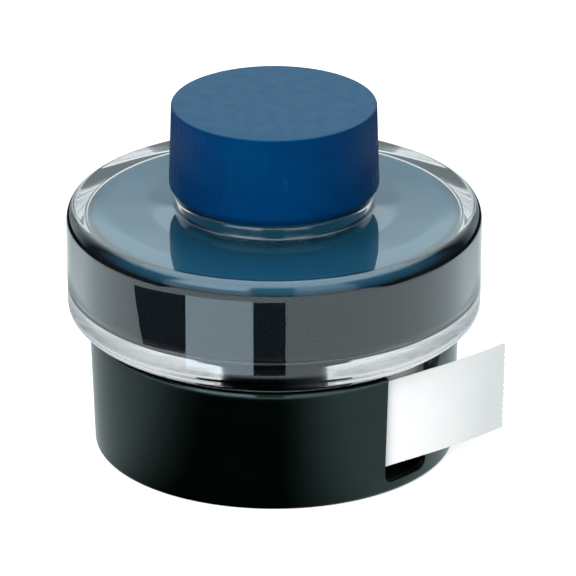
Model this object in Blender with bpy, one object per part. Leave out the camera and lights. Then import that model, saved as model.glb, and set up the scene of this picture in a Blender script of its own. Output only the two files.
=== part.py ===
"""Ink bottle: a glass disc of ink under a screw cap, standing on a base that feeds a paper tape.

Metres, +Z up. The origin is the centre of the base's underside. The tape leaves the base on the
side that faces -Y and is pulled along +X.
"""

import math

import bmesh
import bpy
from mathutils import Matrix, Vector

MM = 0.001

# Plastic base: a cup with a hub in the middle, a little wider at the top.
BASE_HEIGHT = 21.8 * MM
BASE_RADIUS_BOTTOM = 30.9 * MM
BASE_RADIUS_TOP = 31.7 * MM
BASE_WALL = 1.2 * MM
BASE_FLOOR = 1.8 * MM
BASE_EDGE = 0.9 * MM
BASE_RIM = 0.3 * MM
HUB_RADIUS = 14.4 * MM
HUB_WALL = 1.2 * MM
HUB_TOP = 21.3 * MM
HUB_SLOTS = 4
HUB_SLOT_WIDTH = 1.4 * MM
HUB_SLOT_BOTTOM = 9.0 * MM
REST_RIBS = 6
REST_RIB_WIDTH = 1.4 * MM
REST_RIB_TOP = 4.2 * MM

# Slot in the base's side: a notch with round lower corners, open at the rim.
SLOT_ANGLES = (1.6, 20.0)
SLOT_SILL = 2.0 * MM
SLOT_CORNER = 1.6 * MM

# Paper: the roll on its card sleeve, and the free end.
PAPER_BOTTOM = 4.5 * MM
PAPER_WIDTH = 16.0 * MM
CORE_INNER = 14.8 * MM
CORE_OUTER = 15.7 * MM
ROLL_INNER = 16.0 * MM
ROLL_OUTER = 28.9 * MM
TAPE_THICKNESS = 0.16 * MM
TAPE_LINE = 29.84 * MM
TAPE_TAIL_ANGLE = 9.0
TAPE_STRAIGHT_START = 0.0 * MM
TAPE_STRAIGHT_END = 11.0 * MM
TAPE_CURL_RADIUS = 110.0 * MM
TAPE_CURL_LENGTH = 16.8 * MM
TAPE_TEETH = 14
TAPE_TOOTH_DEPTH = 0.35 * MM

# Glass disc with its well below and its neck above.
DISC_BOTTOM = 21.75 * MM
DISC_TOP = 43.45 * MM
DISC_RADIUS_BOTTOM = 35.4 * MM
DISC_RADIUS_TOP = 35.56 * MM
DISC_LOWER_ROUND = (7.9 * MM, 4.5 * MM)
DISC_UPPER_ROUND = (1.8 * MM, 2.7 * MM)
CAVITY_RADIUS = 32.3 * MM
CAVITY_BOTTOM = 26.8 * MM
CAVITY_TOP = 40.4 * MM
CAVITY_LOWER_ROUND = 4.0 * MM
CAVITY_UPPER_ROUND = 2.4 * MM
NUB_RADIUS = 12.4 * MM
NUB_BOTTOM = 8.4 * MM
NUB_ROUND = 3.0 * MM
WELL_RADIUS = 6.4 * MM
WELL_BOTTOM = 11.2 * MM
WELL_ROUND = 3.6 * MM
COLLAR_RADIUS_BOTTOM = 16.6 * MM
COLLAR_RADIUS_TOP = 17.0 * MM
COLLAR_TOP = 46.0 * MM
COLLAR_FILLET = 0.8 * MM
NECK_RADIUS = 13.9 * MM
LIP_TOP = 58.8 * MM
LIP_ROUND = 0.8 * MM
MOUTH_RADIUS = 11.3 * MM
INK_LEVEL = 45.5 * MM
INK_GAP = 0.3 * MM

# Screw cap and its thread.
CAP_BOTTOM = 46.3 * MM
CAP_TOP = 61.9 * MM
CAP_CHAMFER_TOP = 47.7 * MM
CAP_RADIUS_BOTTOM = 17.0 * MM
CAP_RADIUS_WIDEST = 17.97 * MM
CAP_RADIUS_TOP = 17.55 * MM
CAP_EDGE = 0.45 * MM
CAP_FLUTES = 48
CAP_FLUTE_DEPTH = 0.12 * MM
CAP_BORE = 15.5 * MM
CAP_CEILING = 60.2 * MM
THREAD_PITCH = 4.0 * MM
THREAD_ROOT_WIDTH = 1.7 * MM
THREAD_CREST_WIDTH = 0.9 * MM
THREAD_SINK = 0.3 * MM
GLASS_THREAD_CREST = 15.0 * MM
GLASS_THREAD_BOTTOM = 48.6 * MM
GLASS_THREAD_TURNS = 1.5
CAP_THREAD_CREST = 14.35 * MM
CAP_THREAD_TURNS = 1.25
LINER_RADIUS = 15.1 * MM
LINER_BOTTOM = 59.1 * MM
LINER_TOP = 59.9 * MM

TURN_STEPS = 48
ARC_STEPS = 4


def clear_scene():
    for obj in list(bpy.data.objects):
        bpy.data.objects.remove(obj, do_unlink=True)


def material(name, colour, roughness, transmission=0.0, ior=1.45):
    made = bpy.data.materials.new(name)
    made.use_nodes = True
    shader = made.node_tree.nodes["Principled BSDF"]
    shader.inputs["Base Color"].default_value = (*colour, 1.0)
    shader.inputs["Roughness"].default_value = roughness
    shader.inputs["Metallic"].default_value = 0.0
    shader.inputs["Transmission Weight"].default_value = transmission
    shader.inputs["IOR"].default_value = ior
    return made


def finish_object(name, bm, finish, parent=None, smooth_angle=35.0):
    """Links the mesh as an object with outward faces, smooth shading and its material."""
    bmesh.ops.recalc_face_normals(bm, faces=bm.faces)
    mesh = bpy.data.meshes.new(name)
    bm.to_mesh(mesh)
    bm.free()
    mesh.materials.append(finish)
    mesh.shade_smooth()
    mesh.set_sharp_from_angle(angle=math.radians(smooth_angle))
    obj = bpy.data.objects.new(name, mesh)
    bpy.context.collection.objects.link(obj)
    obj.parent = parent
    return obj


def axis_empty(name, location):
    empty = bpy.data.objects.new(name, None)
    bpy.context.collection.objects.link(empty)
    empty.location = location
    empty.empty_display_size = 0.01
    return empty


def arc(centre, radii, start, end, steps=ARC_STEPS):
    """Points (r, z) on an ellipse's quarter or less, from the start angle to the end angle."""
    points = []
    for step in range(steps + 1):
        angle = math.radians(start + (end - start) * step / steps)
        points.append((centre[0] + radii[0] * math.cos(angle), centre[1] + radii[1] * math.sin(angle)))
    return points


def turned(outline, steps=TURN_STEPS, closed=False):
    """Spins an (r, z) outline about Z. An open outline starts and ends on the axis."""
    bm = bmesh.new()
    verts = [bm.verts.new((r, 0.0, z)) for r, z in outline]
    edges = [bm.edges.new(pair) for pair in zip(verts, verts[1:])]
    if closed:
        edges.append(bm.edges.new((verts[-1], verts[0])))
    bmesh.ops.spin(
        bm,
        geom=verts + edges,
        cent=(0, 0, 0),
        axis=(0, 0, 1),
        angle=math.tau,
        steps=steps,
        use_merge=True,
    )
    bmesh.ops.remove_doubles(bm, verts=bm.verts, dist=1e-7)
    return bm


def ring(inner, outer, bottom, top, bevel=0.0):
    """Outline of a sleeve or washer."""
    return [
        (inner, bottom),
        (outer - bevel, bottom),
        (outer, bottom + bevel),
        (outer, top - bevel),
        (outer - bevel, top),
        (inner, top),
    ] if bevel else [(inner, bottom), (outer, bottom), (outer, top), (inner, top)]


def helper(name, bm):
    """A hidden solid that a Boolean adds to, or cuts from, a part."""
    bmesh.ops.recalc_face_normals(bm, faces=bm.faces)
    mesh = bpy.data.meshes.new(name)
    bm.to_mesh(mesh)
    bm.free()
    obj = bpy.data.objects.new(name, mesh)
    bpy.context.collection.objects.link(obj)
    obj.hide_render = True
    obj.display_type = "WIRE"
    return obj


def boolean(obj, other, operation):
    modifier = obj.modifiers.new(f"{operation.lower()} {other.name}", "BOOLEAN")
    modifier.operation = operation
    modifier.object = other
    modifier.solver = "EXACT"


def box_mesh(size, centre, turn=0.0):
    """A box of this size at this centre, then turned about Z by an angle in radians."""
    bm = bmesh.new()
    place = Matrix.Rotation(turn, 4, "Z") @ Matrix.Translation(centre) @ Matrix.Diagonal((*size, 1.0))
    bmesh.ops.create_cube(bm, size=1.0, matrix=place)
    return bm


def thread_ridge(root, crest, bottom, turns, start_turn=0.0):
    """A right-handed helical ridge whose two ends taper into the wall that it stands on."""
    per_turn = TURN_STEPS
    count = int(per_turn * turns)
    taper = per_turn // 6
    bm = bmesh.new()
    rows = []
    for step in range(count + 1):
        full = min(1.0, step / taper, (count - step) / taper)
        angle = math.tau * (start_turn + step / per_turn)
        height = bottom + THREAD_PITCH * step / per_turn
        reach = root + (crest - root) * max(full, 0.02)
        crest_half = 0.5 * THREAD_CREST_WIDTH * max(full, 0.3)
        root_half = 0.5 * THREAD_ROOT_WIDTH * max(full, 0.3)
        section = (
            (root, height - root_half),
            (reach, height - crest_half),
            (reach, height + crest_half),
            (root, height + root_half),
        )
        rows.append([bm.verts.new((r * math.cos(angle), r * math.sin(angle), z)) for r, z in section])
    for low, high in zip(rows, rows[1:]):
        for side in range(4):
            after = (side + 1) % 4
            bm.faces.new((low[side], low[after], high[after], high[side]))
    bm.faces.new(rows[0])
    bm.faces.new(list(reversed(rows[-1])))
    return bm


def base_outline():
    wall_slope = (BASE_RADIUS_TOP - BASE_RADIUS_BOTTOM) / BASE_HEIGHT
    inner_bottom = BASE_RADIUS_BOTTOM + wall_slope * BASE_FLOOR - BASE_WALL
    edge_centre = (BASE_RADIUS_BOTTOM + wall_slope * BASE_EDGE - BASE_EDGE, BASE_EDGE)
    hub_bore = HUB_RADIUS - HUB_WALL
    outline = [(0.0, 0.0)]
    outline += arc(edge_centre, (BASE_EDGE, BASE_EDGE), -90, 0)
    outline += [
        (BASE_RADIUS_TOP, BASE_HEIGHT - BASE_RIM),
        (BASE_RADIUS_TOP - BASE_RIM, BASE_HEIGHT),
        (BASE_RADIUS_TOP - BASE_WALL, BASE_HEIGHT),
        (inner_bottom, BASE_FLOOR),
        (HUB_RADIUS, BASE_FLOOR),
        (HUB_RADIUS, HUB_TOP - BASE_RIM),
        (HUB_RADIUS - BASE_RIM, HUB_TOP),
        (hub_bore + BASE_RIM, HUB_TOP),
        (hub_bore, HUB_TOP - BASE_RIM),
        (hub_bore, BASE_FLOOR),
        (0.0, BASE_FLOOR),
    ]
    return outline


def slot_cutter():
    """A prism through the wall, with its two lower corners round."""
    first, last = (math.radians(angle) for angle in SLOT_ANGLES)
    middle = 0.5 * (first + last)
    half = BASE_RADIUS_TOP * math.sin(0.5 * (last - first))
    shape = [(half, BASE_HEIGHT + SLOT_CORNER), (-half, BASE_HEIGHT + SLOT_CORNER)]
    low = SLOT_SILL + SLOT_CORNER
    shape += arc((-half + SLOT_CORNER, low), (SLOT_CORNER, SLOT_CORNER), 180, 270)
    shape += arc((half - SLOT_CORNER, low), (SLOT_CORNER, SLOT_CORNER), -90, 0)
    near = BASE_RADIUS_BOTTOM - 3 * BASE_WALL
    far = BASE_RADIUS_TOP + BASE_WALL
    bm = bmesh.new()
    face = bm.faces.new([bm.verts.new((x, -near, z)) for x, z in shape])
    pushed = bmesh.ops.extrude_face_region(bm, geom=[face])
    moved = [item for item in pushed["geom"] if isinstance(item, bmesh.types.BMVert)]
    bmesh.ops.translate(bm, verts=moved, vec=(0, near - far, 0))
    bmesh.ops.rotate(bm, verts=bm.verts, cent=(0, 0, 0), matrix=Matrix.Rotation(middle, 3, "Z"))
    return bm


def build_base():
    black = material("black_plastic", (0.012, 0.016, 0.015), 0.38)
    base = finish_object("base_housing", turned(base_outline()), black)
    rib_inner = HUB_RADIUS - 0.5 * HUB_WALL
    rib_outer = BASE_RADIUS_BOTTOM - 0.5 * BASE_WALL
    rib_size = (rib_outer - rib_inner, REST_RIB_WIDTH, REST_RIB_TOP - 0.5 * BASE_FLOOR)
    rib_centre = (0.5 * (rib_outer + rib_inner), 0.0, 0.5 * (REST_RIB_TOP + 0.5 * BASE_FLOOR))
    for index in range(REST_RIBS):
        turn = math.tau * (index + 0.5) / REST_RIBS
        boolean(base, helper(f"rest_rib_{index}", box_mesh(rib_size, rib_centre, turn)), "UNION")
    slot_size = (3 * HUB_WALL, HUB_SLOT_WIDTH, HUB_TOP - HUB_SLOT_BOTTOM + 4 * MM)
    slot_centre = (HUB_RADIUS - 0.5 * HUB_WALL, 0.0, HUB_SLOT_BOTTOM + 0.5 * slot_size[2])
    for index in range(HUB_SLOTS):
        turn = math.tau * (index + 0.5) / HUB_SLOTS
        boolean(base, helper(f"hub_slot_{index}", box_mesh(slot_size, slot_centre, turn)), "DIFFERENCE")
    boolean(base, helper("tape_slot", slot_cutter()), "DIFFERENCE")
    return base


def cavity_outline(gap):
    """Inside of the glass below the neck, pulled in by a gap, from the well's floor to the ceiling."""
    well = WELL_RADIUS - gap
    floor = WELL_BOTTOM + gap
    wall = CAVITY_RADIUS - gap
    low = CAVITY_BOTTOM + gap
    outline = [(0.0, floor)]
    outline += arc((well - WELL_ROUND, floor + WELL_ROUND), (WELL_ROUND, WELL_ROUND), -90, 0)
    outline += arc((well + 1.2 * MM, low - 1.2 * MM), (1.2 * MM, 1.2 * MM), 180, 90, 3)
    outline += arc(
        (wall - CAVITY_LOWER_ROUND, low + CAVITY_LOWER_ROUND),
        (CAVITY_LOWER_ROUND, CAVITY_LOWER_ROUND),
        -90,
        0,
    )
    return outline


def glass_outline():
    low_r, low_z = DISC_LOWER_ROUND
    up_r, up_z = DISC_UPPER_ROUND
    fillet = COLLAR_FILLET
    lip_half = 0.5 * (NECK_RADIUS - MOUTH_RADIUS)
    outline = [(0.0, NUB_BOTTOM)]
    outline += arc((NUB_RADIUS - NUB_ROUND, NUB_BOTTOM + NUB_ROUND), (NUB_ROUND, NUB_ROUND), -90, 0)
    outline += arc((NUB_RADIUS + fillet, DISC_BOTTOM - fillet), (fillet, fillet), 180, 90, 3)
    outline += arc((DISC_RADIUS_BOTTOM - low_r, DISC_BOTTOM + low_z), (low_r, low_z), -90, 0, 6)
    outline += arc((DISC_RADIUS_TOP - up_r, DISC_TOP - up_z), (up_r, up_z), 0, 90, 5)
    outline += arc((COLLAR_RADIUS_BOTTOM + fillet, DISC_TOP + fillet), (fillet, fillet), 270, 180, 3)
    outline += arc((COLLAR_RADIUS_TOP - fillet, COLLAR_TOP - fillet), (fillet, fillet), 0, 90, 3)
    outline += [(NECK_RADIUS, COLLAR_TOP)]
    outline += arc((NECK_RADIUS - lip_half, LIP_TOP - LIP_ROUND), (lip_half, LIP_ROUND), 0, 180, 6)
    outline += arc((MOUTH_RADIUS + fillet, CAVITY_TOP + fillet), (fillet, fillet), 180, 270, 3)
    outline += arc(
        (CAVITY_RADIUS - CAVITY_UPPER_ROUND, CAVITY_TOP - CAVITY_UPPER_ROUND),
        (CAVITY_UPPER_ROUND, CAVITY_UPPER_ROUND),
        90,
        0,
    )
    outline += list(reversed(cavity_outline(0.0)))
    return outline


def build_glass():
    clear = material("clear_glass", (0.95, 0.98, 0.98), 0.02, transmission=1.0, ior=1.5)
    bottle = finish_object("glass_bottle", turned(glass_outline()), clear)
    root = NECK_RADIUS - THREAD_SINK
    ridge = thread_ridge(root, GLASS_THREAD_CREST, GLASS_THREAD_BOTTOM, GLASS_THREAD_TURNS)
    boolean(bottle, helper("glass_thread", ridge), "UNION")
    return bottle


def build_ink(bottle):
    """The ink fills the disc and stands a little way up the neck."""
    dark = material("blue_black_ink", (0.004, 0.012, 0.03), 0.05)
    shoulder = (CAVITY_RADIUS - CAVITY_UPPER_ROUND, CAVITY_TOP - CAVITY_UPPER_ROUND)
    shoulder_round = CAVITY_UPPER_ROUND - INK_GAP
    neck_corner = (MOUTH_RADIUS + COLLAR_FILLET, CAVITY_TOP + COLLAR_FILLET)
    neck_round = COLLAR_FILLET + INK_GAP
    outline = cavity_outline(INK_GAP)
    outline += arc(shoulder, (shoulder_round, shoulder_round), 0, 90)
    outline += arc(neck_corner, (neck_round, neck_round), 270, 180, 3)
    outline += [(MOUTH_RADIUS - INK_GAP, INK_LEVEL), (0.0, INK_LEVEL)]
    return finish_object("ink", turned(outline), dark, parent=bottle)


def cap_outline():
    outline = [(0.0, CAP_TOP)]
    outline += arc((CAP_RADIUS_TOP - CAP_EDGE, CAP_TOP - CAP_EDGE), (CAP_EDGE, CAP_EDGE), 90, 0, 4)
    outline += [
        (CAP_RADIUS_WIDEST, CAP_CHAMFER_TOP),
        (CAP_RADIUS_BOTTOM, CAP_BOTTOM),
        (CAP_BORE + CAP_EDGE, CAP_BOTTOM),
        (CAP_BORE, CAP_BOTTOM + CAP_EDGE),
        (CAP_BORE, CAP_CEILING),
        (0.0, CAP_CEILING),
    ]
    return outline


def cut_flutes(bm):
    """Presses a shallow upright line between each two of the cap's facets."""
    half_step = math.pi / CAP_FLUTES
    for vert in bm.verts:
        radius = math.hypot(vert.co.x, vert.co.y)
        on_side = radius > CAP_BORE + 1.5 * MM and CAP_BOTTOM + 1e-6 < vert.co.z < CAP_TOP - CAP_EDGE
        odd = round(math.atan2(vert.co.y, vert.co.x) / half_step) % 2
        if on_side and odd:
            inward = (radius - CAP_FLUTE_DEPTH) / radius
            vert.co.x *= inward
            vert.co.y *= inward


def build_cap():
    """The cap hangs from two empties on the bottle's axis: one rises and the other turns."""
    rise = axis_empty("cap_rise_axis", (0, 0, CAP_BOTTOM))
    turn = axis_empty("cap_turn_axis", (0, 0, 0))
    turn.parent = rise
    blue = material("blue_plastic", (0.004, 0.05, 0.15), 0.4)
    shell = turned(cap_outline(), steps=2 * CAP_FLUTES)
    cut_flutes(shell)
    bmesh.ops.translate(shell, verts=shell.verts, vec=(0, 0, -CAP_BOTTOM))
    cap = finish_object("screw_cap", shell, blue, parent=turn)
    bottom = GLASS_THREAD_BOTTOM + 0.5 * THREAD_PITCH
    ridge = thread_ridge(CAP_BORE + THREAD_SINK, CAP_THREAD_CREST, bottom, CAP_THREAD_TURNS)
    boolean(cap, helper("cap_thread", ridge), "UNION")
    grey = material("liner_foam", (0.75, 0.76, 0.74), 0.7)
    disc = [(0.0, LINER_BOTTOM), (LINER_RADIUS, LINER_BOTTOM), (LINER_RADIUS, LINER_TOP), (0.0, LINER_TOP)]
    liner = turned([(r, z - CAP_BOTTOM) for r, z in disc])
    finish_object("cap_liner", liner, grey, parent=rise)


def build_roll():
    axis = axis_empty("roll_axis", (0, 0, 0))
    top = PAPER_BOTTOM + PAPER_WIDTH
    card = material("grey_card", (0.42, 0.36, 0.28), 0.85)
    white = material("white_paper", (0.85, 0.86, 0.84), 0.8)
    sleeve = turned(ring(CORE_INNER, CORE_OUTER, PAPER_BOTTOM, top), closed=True)
    finish_object("roll_core", sleeve, card, parent=axis)
    roll = turned(ring(ROLL_INNER, ROLL_OUTER, PAPER_BOTTOM, top, TAPE_THICKNESS), closed=True)
    finish_object("paper_roll", roll, white, parent=axis)
    return white


def tape_path():
    """Middle line of the free end seen from above: (point, unit direction) pairs, inner end first."""
    path = []
    for step in range(4):
        angle = math.radians(TAPE_TAIL_ANGLE) * (step / 4 - 1)
        point = Vector((TAPE_LINE * math.sin(angle), -TAPE_LINE * math.cos(angle)))
        path.append((point, Vector((math.cos(angle), math.sin(angle)))))
    for x in (TAPE_STRAIGHT_START, TAPE_STRAIGHT_END):
        path.append((Vector((x, -TAPE_LINE)), Vector((1, 0))))
    steps = 8
    for step in range(1, steps + 1):
        angle = TAPE_CURL_LENGTH / TAPE_CURL_RADIUS * step / steps
        x = TAPE_STRAIGHT_END + TAPE_CURL_RADIUS * math.sin(angle)
        y = -TAPE_LINE + TAPE_CURL_RADIUS * (1 - math.cos(angle))
        path.append((Vector((x, y)), Vector((math.cos(angle), math.sin(angle)))))
    return path


def build_tape(white):
    """The free end: a thin upright sheet that leans with the base's wall and ends in fine teeth."""
    lean = (BASE_RADIUS_TOP - BASE_RADIUS_BOTTOM) / BASE_HEIGHT
    middle = PAPER_BOTTOM + 0.5 * PAPER_WIDTH
    path = tape_path()
    bm = bmesh.new()

    def sheet_vert(point, direction, across, z):
        normal = Vector((direction.y, -direction.x))
        place = point + normal * across
        return bm.verts.new((place.x, place.y - lean * (z - middle), z))

    heights = [PAPER_BOTTOM + PAPER_WIDTH * index / (2 * TAPE_TEETH) for index in range(2 * TAPE_TEETH + 1)]
    sides = []
    for across in (-0.5 * TAPE_THICKNESS, 0.5 * TAPE_THICKNESS):
        columns = []
        for point, direction in path:
            columns.append([sheet_vert(point, direction, across, z) for z in (heights[0], heights[-1])])
        point, direction = path[-1]
        edge = [columns[-1][0]]
        for index, z in enumerate(heights[1:-1], start=1):
            reach = TAPE_TOOTH_DEPTH if index % 2 else 0.0
            edge.append(sheet_vert(point + direction * reach, direction, across, z))
        edge.append(columns[-1][1])
        columns[-1] = edge
        sides.append(columns)
    for columns in sides:
        for near, far in zip(columns, columns[1:]):
            bm.faces.new([near[-1], near[0], *far])
    inner, outer = sides
    for level in (0, -1):
        for index in range(len(path) - 1):
            near, far = index, index + 1
            bm.faces.new(
                (inner[near][level], inner[far][level], outer[far][level], outer[near][level])
            )
    bm.faces.new((inner[0][0], inner[0][1], outer[0][1], outer[0][0]))
    for low, high in zip(range(2 * TAPE_TEETH), range(1, 2 * TAPE_TEETH + 1)):
        bm.faces.new((inner[-1][low], inner[-1][high], outer[-1][high], outer[-1][low]))
    finish_object("paper_strip", bm, white)


def main():
    clear_scene()
    build_base()
    bottle = build_glass()
    build_ink(bottle)
    build_cap()
    build_tape(build_roll())


main()
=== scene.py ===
"""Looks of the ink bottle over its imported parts: glass, ink, cap, base and paper, then light and camera.

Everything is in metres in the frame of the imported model: +Z up, origin under the middle of the base,
tape leaving on the side that faces -Y and pulled along +X.
"""

import math

import bmesh
import bpy
from mathutils import Matrix, Vector, noise


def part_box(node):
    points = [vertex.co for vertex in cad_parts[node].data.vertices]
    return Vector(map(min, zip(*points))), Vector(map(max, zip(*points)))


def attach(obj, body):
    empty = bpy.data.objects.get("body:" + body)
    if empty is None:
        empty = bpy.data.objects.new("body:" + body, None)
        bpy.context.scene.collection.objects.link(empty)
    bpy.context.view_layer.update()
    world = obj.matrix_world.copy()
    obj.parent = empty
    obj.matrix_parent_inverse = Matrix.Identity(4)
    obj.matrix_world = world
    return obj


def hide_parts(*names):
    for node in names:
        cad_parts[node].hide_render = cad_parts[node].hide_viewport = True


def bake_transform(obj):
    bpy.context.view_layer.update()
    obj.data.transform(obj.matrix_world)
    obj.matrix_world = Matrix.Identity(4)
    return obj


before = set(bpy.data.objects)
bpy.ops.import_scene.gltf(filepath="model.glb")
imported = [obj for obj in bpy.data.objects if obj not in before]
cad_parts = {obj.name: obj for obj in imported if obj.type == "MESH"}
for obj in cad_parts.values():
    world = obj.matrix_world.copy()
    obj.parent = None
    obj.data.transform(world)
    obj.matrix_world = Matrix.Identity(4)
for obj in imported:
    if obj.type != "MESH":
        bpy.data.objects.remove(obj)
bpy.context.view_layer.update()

MM = 0.001
NEGLIGIBLE = 1e-6
ROUND_STEPS = 240
ROLL_STEPS = 160

_, base_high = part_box("base_housing")
glass_low, glass_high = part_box("glass_bottle")
cap_low, cap_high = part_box("screw_cap")
liner_low, liner_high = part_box("cap_liner")
core_low, core_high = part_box("roll_core")
roll_low, roll_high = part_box("paper_roll")
strip_low, strip_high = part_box("paper_strip")

# Names that end in RINGS are extra circles on long faces. They leave the shape as it is.

# Base.
BASE_RADIUS_BOTTOM = 30.9 * MM
BASE_RADIUS_TOP = base_high.x
BASE_HEIGHT = base_high.z
BASE_WALL = 1.2 * MM
BASE_FLOOR = 1.8 * MM
BASE_EDGE = 0.9 * MM
BASE_SHARP = 30.0
BASE_RIM = 0.3 * MM
BASE_LIP_ROUND = 0.2 * MM
BASE_INNER_ROUND = 0.6 * MM
BASE_SIDE_RINGS = (5.0 * MM, 9.0 * MM, 13.0 * MM, 17.0 * MM, 20.0 * MM)
RECESS_HEIGHT = 0.35 * MM
RECESS_RADIUS = 25.0 * MM
FOOT_INNER = 25.3 * MM
FOOT_OUTER = 28.0 * MM
HUB_RADIUS = 14.4 * MM
HUB_WALL = 1.2 * MM
HUB_TOP = 21.3 * MM
HUB_SLOTS = 4
HUB_SLOT_WIDTH = 1.4 * MM
HUB_SLOT_BOTTOM = 9.0 * MM
REST_RIBS = 6
REST_RIB_WIDTH = 1.4 * MM
REST_RIB_TOP = 4.2 * MM
SLOT_ANGLES = (1.6, 20.0)
SLOT_SILL = 2.0 * MM
SLOT_CORNER = 1.6 * MM

# Paper.
CORE_INNER = 14.8 * MM
ROLL_INNER = 16.0 * MM
ROLL_LAYERS = 42
LAYER_PROUD = 0.10 * MM
LAYER_GAP_DEPTH = 0.14 * MM
ROLL_EDGE = 0.1 * MM
ROLL_WANDER = 0.05 * MM
CORE_EDGE = 0.2 * MM
TAPE_THICKNESS = 0.16 * MM
TAPE_LINE = 29.84 * MM
TAPE_TAIL_ANGLE = 9.0
TAPE_STRAIGHT_END = 11.0 * MM
TAPE_CURL_RADIUS = 110.0 * MM
TAPE_CURL_LENGTH = 16.8 * MM
TAPE_TAIL_STEPS = 8
TAPE_STRAIGHT_STEPS = 16
TAPE_CURL_STEPS = 28
TAPE_COCKLE = 0.10 * MM
COCKLE_START = 4 * MM
COCKLE_REACH = 20 * MM
COCKLE_LENGTH = 7 * MM
COCKLE_HEIGHT = 6 * MM
TAPE_TEETH = 14
TAPE_TOOTH_STEPS = 8
TAPE_TOOTH_DEPTH = 0.35 * MM
# Along X, where the painted shade on the strip's free end starts and where it is full.
END_SHADE_REACH = (5 * MM, 24 * MM)

# Glass and ink.
DISC_BOTTOM = 21.75 * MM
DISC_TOP = 43.45 * MM
DISC_RADIUS_BOTTOM = 35.4 * MM
DISC_RADIUS_TOP = glass_high.x
DISC_LOWER_ROUND = (7.9 * MM, 4.5 * MM)
DISC_UPPER_ROUND = (1.8 * MM, 2.7 * MM)
CAVITY_RADIUS = 32.3 * MM
CAVITY_BOTTOM = 26.8 * MM
CAVITY_TOP = 40.4 * MM
CAVITY_LOWER_ROUND = 4.0 * MM
CAVITY_UPPER_ROUND = 2.4 * MM
NUB_RADIUS = 12.4 * MM
NUB_BOTTOM = glass_low.z
NUB_ROUND = 3.0 * MM
WELL_RADIUS = 6.4 * MM
WELL_BOTTOM = 11.2 * MM
WELL_ROUND = 3.6 * MM
WELL_LIP = 1.2 * MM
COLLAR_RADIUS_BOTTOM = 16.6 * MM
COLLAR_RADIUS_TOP = 17.0 * MM
COLLAR_TOP = 46.0 * MM
COLLAR_FILLET = 0.8 * MM
NECK_RADIUS = 13.9 * MM
LIP_TOP = glass_high.z
LIP_ROUND = 0.8 * MM
MOUTH_RADIUS = 11.3 * MM
GLASS_IOR = 1.5
INK_IOR = 1.33
INK_LEVEL = 45.5 * MM
INK_INSET = 0.05 * MM
MENISCUS_RISE = 0.45 * MM
MENISCUS_WIDTH = 1.6 * MM
MENISCUS_FALL = 4.5
MENISCUS_STEPS = 8
INK_NECK_FADE = 0.6 * MM
WALL_STEPS = 24
UNDERSIDE_RINGS = (20 * MM, 24 * MM)
DISC_TOP_RINGS = (28 * MM, 22 * MM)
INK_TOP_RINGS = (24 * MM, 18 * MM)

# Cap.
CAP_BOTTOM = cap_low.z
CAP_TOP = cap_high.z
CAP_CHAMFER_TOP = 47.7 * MM
CAP_RADIUS_BOTTOM = 17.0 * MM
CAP_RADIUS_WIDEST = 17.97 * MM
CAP_RADIUS_TOP = 17.55 * MM
CAP_EDGE = 0.45 * MM
CAP_FACETS = 48
CAP_FACET_STEPS = 8
CAP_SIDE_STEPS = 14
CAP_TOP_RINGS = (8 * MM, 14 * MM)
CAP_LINE_DEPTH = 0.10 * MM
# The share of a facet that its line takes at each side.
CAP_LINE_SHARE = 0.14
CAP_BORE = 15.5 * MM
CAP_CEILING = 60.2 * MM
LINER_EDGE = 0.15 * MM
LINER_STEPS = 60
LINER_DENT = 0.12 * MM
LINER_DENT_HALF = 1.1 * MM
THREAD_PITCH = 4.0 * MM
THREAD_ROOT_HALF = 0.85 * MM
THREAD_CREST_HALF = 0.45 * MM
# The share of a turn over which a thread fades out at each end.
THREAD_RUN_OUT = 0.16
GLASS_THREAD_ROWS = 0.14 * MM
CAP_THREAD_ROWS = 0.2 * MM
GLASS_THREAD_CREST = 15.0 * MM
GLASS_THREAD_BOTTOM = 48.6 * MM
GLASS_THREAD_TURNS = 1.5
CAP_THREAD_CREST = 14.35 * MM
CAP_THREAD_BOTTOM = GLASS_THREAD_BOTTOM + 0.5 * THREAD_PITCH
CAP_THREAD_TURNS = 1.25

# Camera: a long lens, looking down on the bottle from the tape's side.
VIEW_AZIMUTH = -36.0
VIEW_ELEVATION = 23.16
VIEW_DISTANCE = 1.2
VIEW_LENS = 437.15
VIEW_HEIGHT = 27.7 * MM
VIEW_RIGHT = 2.37 * MM


# ---------------------------------------------------------------------------------------- geometry


def smooth(x):
    """Goes from 0 to 1 as x does, level at both ends."""
    x = min(1.0, max(0.0, x))
    return x * x * (3 - 2 * x)


def arc(centre, radii, start, end, steps=10):
    """Points (r, z) on an ellipse, from the start angle to the end angle in degrees."""
    points = []
    for step in range(steps + 1):
        angle = math.radians(start + (end - start) * step / steps)
        points.append((centre[0] + radii[0] * math.cos(angle), centre[1] + radii[1] * math.sin(angle)))
    return points


def rows_between(radius, low, high, spacing):
    """Points up a straight wall, close enough together to carry a thread."""
    count = max(2, round(abs(high - low) / spacing))
    return [(radius, low + (high - low) * step / count) for step in range(count + 1)]


def lathe(outline, steps=ROUND_STEPS, closed=False, reshape=None):
    """Spins an (r, z) outline about Z. reshape(r, z, angle) may give a point another radius and height."""
    bm = bmesh.new()
    rings = []
    for r, z in outline:
        if r < NEGLIGIBLE:
            rings.append([bm.verts.new((0, 0, z))])
            continue
        ring = []
        for step in range(steps):
            angle = math.tau * step / steps
            radius, height = reshape(r, z, angle) if reshape else (r, z)
            ring.append(bm.verts.new((radius * math.cos(angle), radius * math.sin(angle), height)))
        rings.append(ring)
    pairs = list(zip(rings, rings[1:]))
    if closed:
        pairs.append((rings[-1], rings[0]))
    for one, two in pairs:
        for step in range(steps):
            after = (step + 1) % steps
            if len(one) == 1:
                bm.faces.new((one[0], two[step], two[after]))
            elif len(two) == 1:
                bm.faces.new((one[step], two[0], one[after]))
            else:
                bm.faces.new((one[step], two[step], two[after], one[after]))
    bmesh.ops.recalc_face_normals(bm, faces=bm.faces)
    return bm


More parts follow.
